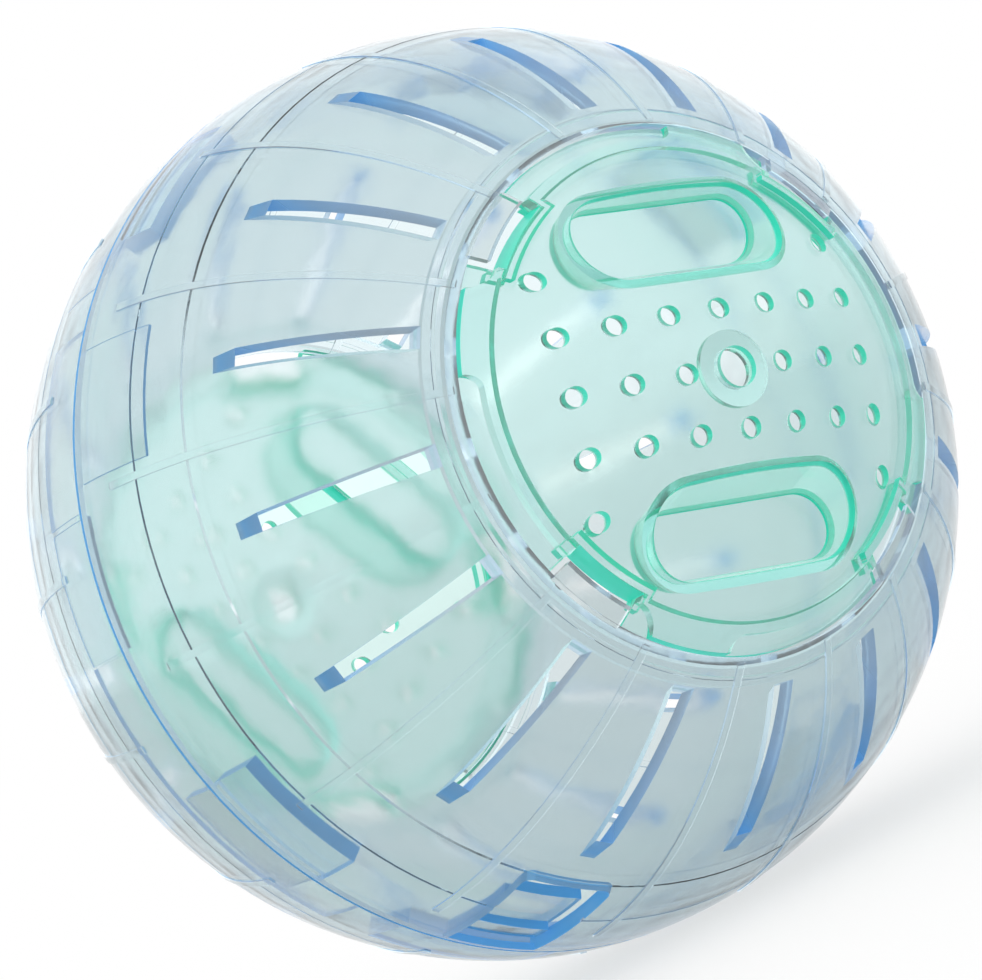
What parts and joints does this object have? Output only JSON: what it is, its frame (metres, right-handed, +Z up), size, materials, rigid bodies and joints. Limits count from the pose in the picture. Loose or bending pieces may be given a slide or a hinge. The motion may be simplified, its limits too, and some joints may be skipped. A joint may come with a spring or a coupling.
{
  "type": "hamster exercise ball",
  "caption": "Hollow clear ball with vent slots and a seam latch, closed by round bayonet lids with finger recesses, air holes and a bore on the axle.",
  "frame": {"origin": "centre of the ball", "axes": "Y along the ball's axle, through the bores of both lids, front lid at -Y; Z up; the ball stands on the point at -Z"},
  "size_m": [0.14, 0.1374, 0.14],
  "materials": {
    "shell_plastic": "clear gloss, pale blue tint",
    "lid_plastic": "clear gloss, mint tint"
  },
  "bodies": {
    "front_half": {"front_shell": "shell_plastic"},
    "rear_half": {"rear_shell": "shell_plastic"},
    "front_cap": {"front_lid": "lid_plastic"},
    "rear_cap": {"rear_lid": "lid_plastic"}
  },
  "joints": [
    {"name": "front_lid_lift", "type": "slide", "parent": "front_half", "child": "front_cap", "axis": [0, -1, 0], "range_m": [0, 0.03]},
    {"name": "halves_part", "type": "slide", "parent": "front_half", "child": "rear_half", "axis": [0, 1, 0], "range_m": [0, 0.04]},
    {"name": "rear_lid_turn", "type": "hinge", "parent": "rear_half", "child": "rear_cap", "pos_m": [0, 0.06742, 0], "axis": [0, -1, 0], "range_deg": [0, 42]}
  ]
}
